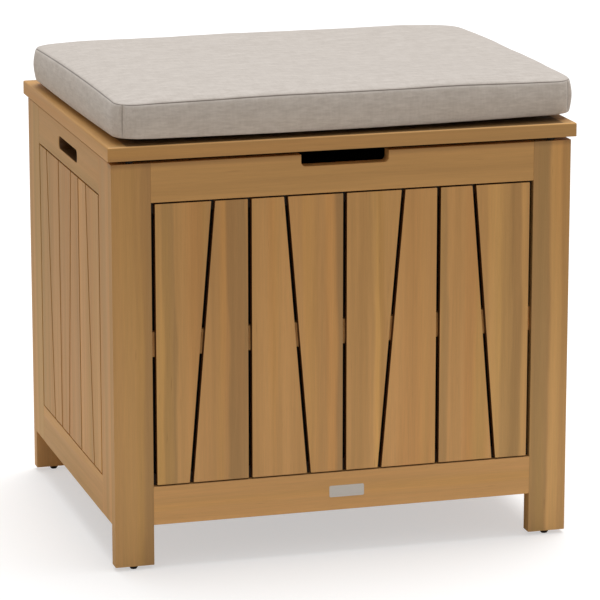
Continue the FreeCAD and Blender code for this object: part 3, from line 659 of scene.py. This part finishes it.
zinc = plain_finish("plated_steel", (0.62, 0.62, 0.64), 1.0, 0.28, 0.18, 300)
brushed = plain_finish("brushed_plate", (0.86, 0.85, 0.83), 0.25, 0.36, 0.18, 60, (1, 30, 30))
enamel = plain_finish("black_enamel", (0.014, 0.014, 0.015), 0.0, 0.3, 0.15, 250)
polished = plain_finish("polished_rod", (0.82, 0.82, 0.84), 1.0, 0.08, 0.08, 400)
moulded = plain_finish("moulded_plastic", (0.018, 0.016, 0.015), 0.0, 0.45, 0.2, 500, height=0.2)
rubber = plain_finish("black_rubber", (0.02, 0.02, 0.02), 0.0, 0.7, 0.2, 600, height=0.2)
hook_tape = plain_finish("hook_tape", (0.03, 0.03, 0.03), 0.0, 0.85, 0.1, 1500, height=0.8)
print("finishes:", [m.name for m in (zinc, brushed, enamel, polished, moulded, rubber)])

# %% [markdown]
# Which finish goes on which fitting is a plain table, so it is easy to read and to change.

# %% Dress the fittings
FITTINGS = {
    "hinge_lower_leaves": zinc, "hinge_upper_leaves": zinc, "box_screws": zinc,
    "lid_screws": zinc, "liner_studs": zinc, "strut_lower_brackets": zinc,
    "strut_upper_brackets": zinc, "left_strut_tube": enamel, "right_strut_tube": enamel,
    "left_strut_rod": polished, "right_strut_rod": polished, "label_plate": brushed,
    "glides": moulded, "lid_bumpers": rubber, "cushion_pads": hook_tape}
for name, paint in FITTINGS.items():
    finish_node(name, paint)
print("fittings:", len(FITTINGS))

# %% [markdown]
# ## Linen for the cushion: the weave
# The cover is a pale greige linen. Its look comes from slubs, the thick places in the yarn,
# which show as short darker and lighter dashes along the cloth. A real weave is far too fine to
# model, so the group draws it: stretched noise for the yarns, and two sine waves for the threads.

# %% Linen group
THREAD = 0.0011

def yarn(group, place, stretch, scale, rough):
    return noise_value(group, vector_maths(group, "MULTIPLY", place, stretch), scale, 3, rough)

def make_linen_group():
    group, source, sink = new_group(
        "linen_weave", [("Vector", "NodeSocketVector", None)],
        [("Tone", "NodeSocketFloat"), ("Height", "NodeSocketFloat")])
    place = source.outputs["Vector"]
    slub = yarn(group, place, (0.20, 1, 1), 360, 0.65)
    thick = yarn(group, place, (0.35, 1, 1), 130, 0.6)
    cross = yarn(group, place, (1, 0.14, 0.14), 360, 0.6)
    split = parts_of(group, place)
    spin = 2 * math.pi / THREAD
    warp = maths(group, "SINE", maths(group, "MULTIPLY", split["X"], spin))
    across = maths(group, "ADD", split["Y"], split["Z"])
    weft = maths(group, "SINE", maths(group, "MULTIPLY", across, spin))
    weave = maths(group, "MULTIPLY", warp, weft)
    tone = maths(group, "MULTIPLY", ramp(group, slub, 0.33, 0.67), 0.40)
    tone = maths(group, "MULTIPLY_ADD", ramp(group, thick, 0.35, 0.7), 0.35, tone)
    tone = maths(group, "MULTIPLY_ADD", ramp(group, cross, 0.33, 0.67), 0.18, tone)
    tone = maths(group, "MULTIPLY_ADD", weave, 0.05, tone)
    group.links.new(tone, sink.inputs["Tone"])
    height = maths(group, "MULTIPLY_ADD", weave, 0.3, maths(group, "MULTIPLY", slub, 0.7))
    group.links.new(height, sink.inputs["Height"])
    return group

linen_group = make_linen_group()
print("group:", linen_group.name, "with threads", THREAD * 1000, "mm apart")

# %% [markdown]
# ## Linen for the cushion: the finish
# The yarns run along the cushion. On its two ends the strip of cloth is turned, so the finish
# holds the same pattern twice and picks one by the way the surface faces. The seams are darker,
# from darker stitching and from painted shade in their groove: each point of the mesh carries a
# number, seam, that says how deep in a seam it lies.

# %% Linen finish
LINEN_DARK, LINEN_LIGHT = (0.545, 0.488, 0.437, 1), (0.705, 0.643, 0.588, 1)
SEAM_DARK_AND_SHADE, SEAM_SHARE = (0.16, 0.13, 0.11, 1), 0.85

def pick(tree, mask, first, second):
    made = add(tree, "ShaderNodeMix", data_type="FLOAT")
    plug(tree, mask, made.inputs["Factor"])
    tree.links.new(first, made.inputs[2])
    tree.links.new(second, made.inputs[3])
    return made.outputs[0]

def linen():
    paint, tree, shader = new_finish("greige_linen")
    where = object_place(tree)
    turned = add(tree, "ShaderNodeMapping")
    plug(tree, where, turned.inputs["Vector"])
    turned.inputs["Rotation"].default_value = (0, 0, math.pi / 2)
    straight = add(tree, "ShaderNodeGroup", node_tree=linen_group)
    sideways = add(tree, "ShaderNodeGroup", node_tree=linen_group)
    tree.links.new(where, straight.inputs["Vector"])
    tree.links.new(turned.outputs["Vector"], sideways.inputs["Vector"])
    end = ramp(tree, maths(tree, "ABSOLUTE", facing_of(tree)["X"]), 0.6, 0.8)
    tone = pick(tree, end, straight.outputs["Tone"], sideways.outputs["Tone"])
    height = pick(tree, end, straight.outputs["Height"], sideways.outputs["Height"])
    seam = add(tree, "ShaderNodeAttribute", attribute_name="seam").outputs["Fac"]
    seam_mask = maths(tree, "MULTIPLY", ramp(tree, seam, 0.30, 0.85), SEAM_SHARE)
    colour = blend_colour(tree, tone, LINEN_DARK, LINEN_LIGHT)
    # Seam line: darker stitching and painted shade in its groove.
    colour = blend_colour(tree, seam_mask, colour, SEAM_DARK_AND_SHADE)
    tree.links.new(colour, shader.inputs["Base Color"])
    shader.inputs["Roughness"].default_value = 0.9
    shader.inputs["Specular IOR Level"].default_value = 0.15
    shader.inputs["Sheen Weight"].default_value = 0.25
    shader.inputs["Sheen Roughness"].default_value = 0.5
    add_bump(tree, shader, height, 0.35, 0.0005)
    return paint

linen_paint = linen()
print("finish:", linen_paint.name)

# %% [markdown]
# ## The cushion: its sizes
# A boxed cushion is two panels, top and bottom, joined by a strip, the boxing. The stuffing
# pushes the panels out into a crown and the seams hold them back. Its sides pull in between the
# corners, and its underside is flat only where it rests, so its edge floats above the lid.

# %% Cushion sizes
LID_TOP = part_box("lid_front_board")[1].z
WIDE, DEEP, BOXING = 0.603, 0.471, 0.0450
CORNER = 0.030
EDGE_LIFT, CORNER_LIFT, REST_GAP = 0.0055, 0.0030, 0.0006
SLOPE_UNDER = 0.060
SEAM_RISE, TOP_CROWN, FULL_HEIGHT = 0.0025, 0.0080, 0.0515
SEAM_HALF = 0.0013
BULGE, WAIST = 0.0045, 0.0015
TURN, CENTRE = math.radians(0.8), Vector((0.0060, -0.0045, 0))
FRONT_SKEW, FRONT_BOW = 0.003, 0.003
print("cushion", WIDE, "x", DEEP, "m on a lid at", round(LID_TOP, 4), "m")

# %% [markdown]
# It is made as a real one is cut and sewn. A fine grid is the bottom panel, and extruding it
# makes the top panel and the boxing. Every sharp edge is a seam, and a two-segment bevel turns
# it into three close loops, so the middle one can be drawn in later.

# %% Cushion box
def cushion_box():
    """Closed box of small quads with every sharp edge bevelled into three loops."""
    bm = bmesh.new()
    bmesh.ops.create_grid(bm, x_segments=84, y_segments=66, size=0.5)
    bmesh.ops.scale(bm, vec=(WIDE, DEEP, 1), verts=bm.verts)
    grown = bmesh.ops.extrude_face_region(bm, geom=bm.faces[:], use_keep_orig=True)
    top = [g for g in grown["geom"] if isinstance(g, bmesh.types.BMVert)]
    bmesh.ops.translate(bm, vec=(0, 0, BOXING), verts=top)
    upright = [e for e in bm.edges if abs(e.verts[0].co.z - e.verts[1].co.z) > BOXING / 2]
    bmesh.ops.subdivide_edges(bm, edges=upright, cuts=6)
    bmesh.ops.recalc_face_normals(bm, faces=bm.faces)
    seams = [e for e in bm.edges if len(e.link_faces) == 2
             and e.link_faces[0].normal.dot(e.link_faces[1].normal) < 0.5]
    bmesh.ops.bevel(bm, geom=seams, offset=SEAM_HALF, segments=2, profile=0.5,
                    affect="EDGES", material=-1, clamp_overlap=True)
    return bm

cushion_mesh = cushion_box()
print("cushion box:", len(cushion_mesh.faces), "faces")

# %% [markdown]
# The shape comes from moving each point by rule. Two small functions do the parts that need
# thought: one rounds the corners of the plan, the other says how high the crown is at a point.
# Powers as high as six and seven keep the top flat and let it fall only near the seams.

# %% Corner and crown
def rounded_corner(x, y):
    """Move a point of the square-cornered plan onto one with rounded corners."""
    inner_x, inner_y = WIDE / 2 - CORNER, DEEP / 2 - CORNER
    dx, dy = (abs(x) - inner_x) / CORNER, (abs(y) - inner_y) / CORNER
    if dx <= 0 or dy <= 0:
        return x, y
    new_x = dx * math.sqrt(1 - dy * dy / 2)
    new_y = dy * math.sqrt(1 - dx * dx / 2)
    return (math.copysign(inner_x + new_x * CORNER, x),
            math.copysign(inner_y + new_y * CORNER, y))

def crown_shape(u, v):
    """Zero at the seams, one over most of the middle."""
    return (1 - abs(u) ** 7) ** 0.5 * (1 - abs(v) ** 6) ** 0.5

print("crown at the middle and near a corner:", crown_shape(0, 0),
      round(crown_shape(0.95, 0.95), 2))

# %% [markdown]
# Each point also gets two numbers that ride in the mesh: seam, for the dark stitching line with
# painted shade in its groove, and hold, for what the stuffing can't move, which is the seams and
# the part that lies on the lid.

# %% Seam and hold marks
SEAM_REACH = SEAM_HALF * 1.01

def distances(x, y, z):
    """How far a point of the box is from its sides, its front or back, its top and bottom."""
    return WIDE / 2 - abs(x), DEEP / 2 - abs(y), BOXING - z, z

def seam_marks(x, y, z):
    """How dark the seam line is at a point, from stitching and painted shade, and whether the
    point is part of a seam.
    """
    to_side, to_front, to_top, to_low = distances(x, y, z)
    near = sorted((to_side, to_front, min(to_top, to_low)))
    in_seam = near[1] < SEAM_REACH
    middle = in_seam and near[0] > SEAM_HALF * 0.05 and near[1] < SEAM_HALF * 0.6
    upright = max(to_side, to_front) < SEAM_REACH
    fade = 0.45 if to_low < SEAM_REACH else 0.64 if upright else 1.0
    return (fade if middle else 0.0), in_seam

print("a seam is", round(SEAM_HALF * 2000, 1), "mm wide")

# %% [markdown]
# Now every point is moved: its height first, then its place in the plan. Under the cushion the
# edge is lifted, and the cloth slopes down to the lid over six centimetres.

# %% Shape the cushion
def height_of(x, y, z, u, v):
    """Where the point lies in height, and whether it lies on the lid."""
    to_side, to_front, to_top, to_low = distances(x, y, z)
    inset = min(to_side, to_front)
    share = min(1.0, max(0.0, z / BOXING))
    even = 1 - u * u * v * v
    level = z + share * SEAM_RISE * even + (1 - share) * CORNER_LIFT * (1 - even)
    if to_top < SEAM_REACH and inset > SEAM_HALF * 0.99:
        level += TOP_CROWN * crown_shape(u, v)
    if to_low < SEAM_REACH and inset > SEAM_HALF * 0.99:
        away = min(1.0, max(0.0, inset / SLOPE_UNDER))
        drop = EDGE_LIFT + CORNER_LIFT * (1 - even) - REST_GAP
        level = z + CORNER_LIFT * (1 - even) - drop * math.sin(away * math.pi / 2) ** 1.2
        return level, away > 0.4
    return level, False

def shape_cushion(bm):
    """Crown, bulge and rounded corners; marks the seams and what the filling can't move."""
    seam_layer = bm.verts.layers.float.new("seam")
    hold_layer = bm.verts.layers.float.new("hold")
    for vert in bm.verts:
        x, y, z = vert.co
        u, v = max(-1, min(1, 2 * x / WIDE)), max(-1, min(1, 2 * y / DEEP))
        to_side, to_front, to_top, to_low = distances(x, y, z)
        vert[seam_layer], in_seam = seam_marks(x, y, z)
        level, rests = height_of(x, y, z, u, v)
        vert[hold_layer] = 1.0 if in_seam or rests else 0.0
        swell = BULGE * math.sin(math.pi * min(1.0, max(0.0, z / BOXING)))
        x, y = rounded_corner(x, y)
        x -= math.copysign(WAIST, x) * (1 - v * v) ** 0.7 * abs(u) ** 3
        y -= math.copysign(WAIST, y) * (1 - u * u) ** 0.7 * abs(v) ** 3
        if to_side < 1e-5:
            x += swell * math.copysign(1, u)
        if to_front < 1e-5:
            y += swell * math.copysign(1, v)
        y += (1 - v) / 2 * (FRONT_SKEW * u - FRONT_BOW * (1 - u * u))
        vert.co = (x, y, level)

def new_piece(name, bm, paint):
    """An object with smooth shading from a bmesh."""
    obj = new_object(name, bm, paint)
    for face in obj.data.polygons:
        face.use_smooth = True
    return obj

shape_cushion(cushion_mesh)
cushion = new_piece("seat_cushion", cushion_mesh, linen_paint)
print("cushion points:", len(cushion.data.vertices), "seam points:",
      sum(1 for a in cushion.data.attributes["seam"].data if a.value > 0.5))

# %% [markdown]
# ## The cushion: stuffing it
# Stuffing could be faked with noise, but cloth that is blown up bends as cloth does. Blender's
# Cloth pushes the free panels outwards with gravity off, the held points are pinned, and no
# point may move further than a cap. The cloth is a touch larger than its outline, so it is
# slightly uneven along the seams. The result is copied back and the modifier removed.

# %% Cloth settings
PRESSURE, FILL_CAP, FILL_FRAMES = 4.0, 0.007, 20
CLOTH = {"quality": 6, "mass": 0.25, "tension_stiffness": 18, "compression_stiffness": 12,
         "shear_stiffness": 8, "bending_stiffness": 1.5, "shrink_min": -0.008,
         "use_pressure": True, "uniform_pressure_force": PRESSURE}

def read_floats(mesh, name):
    values = [0.0] * len(mesh.vertices)
    mesh.attributes[name].data.foreach_get("value", values)
    return values

def add_cloth(obj):
    pins = obj.vertex_groups.new(name="hold")
    held = [i for i, value in enumerate(read_floats(obj.data, "hold")) if value > 0.5]
    pins.add(held, 1.0, "REPLACE")
    cloth = obj.modifiers.new("filling", "CLOTH")
    for key, value in CLOTH.items():
        setattr(cloth.settings, key, value)
    cloth.settings.vertex_group_mass = "hold"
    cloth.settings.effector_weights.gravity = 0
    cloth.point_cache.frame_start = 1
    cloth.point_cache.frame_end = FILL_FRAMES
    return cloth, pins

print("pressure", PRESSURE, "for", FILL_FRAMES, "frames")

# %% [markdown]
# Cloth works each frame out from the one before, so the frames are stepped one by one. Then the
# points are read back, and the cap holds those that went too far.

# %% Fill the cushion
def fill_with_stuffing(obj):
    mesh = obj.data
    start = [v.co.copy() for v in mesh.vertices]
    cloth, pins = add_cloth(obj)
    for step in range(1, FILL_FRAMES + 1):
        scene.frame_set(step)
    graph = bpy.context.evaluated_depsgraph_get()
    blown = obj.evaluated_get(graph).to_mesh()
    places = [v.co.copy() for v in blown.vertices]
    obj.evaluated_get(graph).to_mesh_clear()
    obj.modifiers.remove(cloth)
    obj.vertex_groups.remove(pins)
    scene.frame_set(1)
    furthest = 0.0
    for vert, old, new in zip(mesh.vertices, start, places):
        move = new - old
        if move.length > FILL_CAP:
            move *= FILL_CAP / move.length
        furthest = max(furthest, move.length)
        vert.co = old + move
    return furthest

print("moved up to", round(fill_with_stuffing(cushion), 4))

# %% [markdown]
# ## The cushion: finishing its shape
# Stuffing alone leaves the top domed and the panels rippled. Real filling lies flat in the
# middle, so the highest parts are pressed down. Smoothing takes out small ripples, slow noise
# puts in a few soft dents, and the seam is drawn in, so the stitching sits in a narrow groove.

# %% Press, smooth, dent and stitch
def flatten_top(obj, share_left=0.25):
    """Press down what stands above the full height."""
    for vert in obj.data.vertices:
        if vert.co.z > FULL_HEIGHT:
            vert.co.z = FULL_HEIGHT + (vert.co.z - FULL_HEIGHT) * share_left

def relax(obj, rounds, share=0.5):
    """Smooth the stuffed panels but not the seams, so no small ripples are left."""
    bm = bmesh.new()
    bm.from_mesh(obj.data)
    hold = bm.verts.layers.float["hold"]
    free = [v for v in bm.verts if v[hold] < 0.5]
    for _ in range(rounds):
        bmesh.ops.smooth_vert(bm, verts=free, factor=share, use_axis_x=True, use_axis_y=True,
                              use_axis_z=True)
    bm.to_mesh(obj.data)
    bm.free()

def soft_dents(obj, amount, size):
    """Slow unevenness of the stuffing, about a millimetre deep."""
    for vert in obj.data.vertices:
        if vert.co.z > BOXING * 0.25:
            push = noise.fractal(vert.co * size, 1.0, 2.0, 3) * amount
            vert.co += vert.normal * push

def draw_in_seams(obj, depth):
    for vert, value in zip(obj.data.vertices, read_floats(obj.data, "seam")):
        if value > 0.5:
            vert.co -= vert.normal * depth

flatten_top(cushion)
relax(cushion, 6)
soft_dents(cushion, 0.0015, 8)
draw_in_seams(cushion, 0.0013)
print("cushion is", round(max(v.co.z for v in cushion.data.vertices), 4), "m thick")

# %% [markdown]
# The cushion is laid on the lid, turned by a degree as cushions lie. One level of subdivision
# rounds the small faces off. The piece stands for the plain CAD solid and rides on its body.

# %% Lay the cushion on the lid
lay = (Matrix.Translation(CENTRE + Vector((0, 0, LID_TOP + EDGE_LIFT)))
       @ Matrix.Rotation(TURN, 4, "Z"))
cushion.data.transform(lay)
smoothing = cushion.modifiers.new("smooth", "SUBSURF")
smoothing.levels = 1
smoothing.render_levels = 1
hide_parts("cushion")
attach(cushion, "cushion")
heights = [v.co.z for v in cushion.data.vertices]
print("cushion from", round(min(heights), 4), "to", round(max(heights), 4))

# %% [markdown]
# ## The cloth liner: its finish
# A black polyester bag hangs inside, held by press studs along its hem. Its cloth is nearly
# black and dull, with a fine rib that only shows close up.

# %% Liner finish
RIB_DARK, RIB_LIGHT = (0.012, 0.012, 0.012, 1), (0.034, 0.034, 0.036, 1)
liner_paint, tree, shader = new_finish("black_liner_cloth")
rib = noise_value(tree, object_place(tree), 900, 2, 0.6)
tree.links.new(blend_colour(tree, rib, RIB_DARK, RIB_LIGHT), shader.inputs["Base Color"])
shader.inputs["Roughness"].default_value = 0.85
shader.inputs["Specular IOR Level"].default_value = 0.2
add_bump(tree, shader, rib, 0.3, 0.0004)
print("finish:", liner_paint.name)

# %% [markdown]
# ## The cloth liner: its shape
# A draped simulation would take long and show little, since the bag is stretched over the walls.
# It is a box without a top, cut into small faces, whose walls ripple a little and whose hem sags
# between the studs.

# %% Liner shape
SEAM_ALLOWANCE, RIPPLE, HEM_SAG = 0.0012, 0.0045, 0.004
STUDS_APART_WIDE, STUDS_APART_DEEP = 0.36, 0.22
CLOTH_THICK = 0.0006

def open_box(low, high):
    size = high - low
    bm = bmesh.new()
    bmesh.ops.create_cube(bm, size=1)
    bmesh.ops.scale(bm, vec=(size.x - SEAM_ALLOWANCE, size.y - SEAM_ALLOWANCE,
                             size.z - CLOTH_THICK), verts=bm.verts)
    bmesh.ops.translate(bm, vec=(low + high) / 2 + Vector((0, 0, CLOTH_THICK / 2)),
                        verts=bm.verts)
    top = [f for f in bm.faces if f.normal.z > 0.9]
    bmesh.ops.delete(bm, geom=top, context="FACES_ONLY")
    bmesh.ops.subdivide_edges(bm, edges=bm.edges[:], cuts=39, use_grid_fill=True)
    return bm

def ripple_walls(bm, low, high):
    size = high - low
    for vert in bm.verts:
        x, y, z = vert.co
        rise = (z - low.z) / size.z
        in_side, in_front = abs(abs(x) - size.x / 2), abs(abs(y) - size.y / 2)
        ripple = 0.5 + 0.5 * noise.noise(Vector((x * 14, y * 14, z * 3)))
        slack = math.sin(math.pi * min(1, rise)) * RIPPLE * ripple
        if z > low.z + CLOTH_THICK + 0.002:
            vert.co.x -= math.copysign(slack, x) if in_side < 0.002 else 0
            vert.co.y -= math.copysign(slack, y) if in_front < 0.002 else 0
        if rise > 0.99:
            along = x / STUDS_APART_WIDE if in_front < 0.01 else y / STUDS_APART_DEEP
            vert.co.z -= HEM_SAG * abs(math.sin(math.pi * (along + 0.5)))
    bmesh.ops.recalc_face_normals(bm, faces=bm.faces)

liner_low, liner_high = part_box("liner_bag")
liner_mesh = open_box(liner_low, liner_high)
ripple_walls(liner_mesh, liner_low, liner_high)
liner = new_piece("liner_cloth_bag", liner_mesh, liner_paint)
print("liner faces:", len(liner.data.polygons))

# %% [markdown]
# Solidify gives the cloth its thickness. As a sheet it was cut as a cross: the floor with a
# wall folded up from each of its sides.

# %% Liner thickness and cut
thickness = liner.modifiers.new("cloth_thickness", "SOLIDIFY")
thickness.thickness = CLOTH_THICK
thickness.offset = 0
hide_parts("liner_bag")
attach(liner, "box")
print("liner cloth:", round(sum(f.area for f in liner.data.polygons), 3), "square metres")
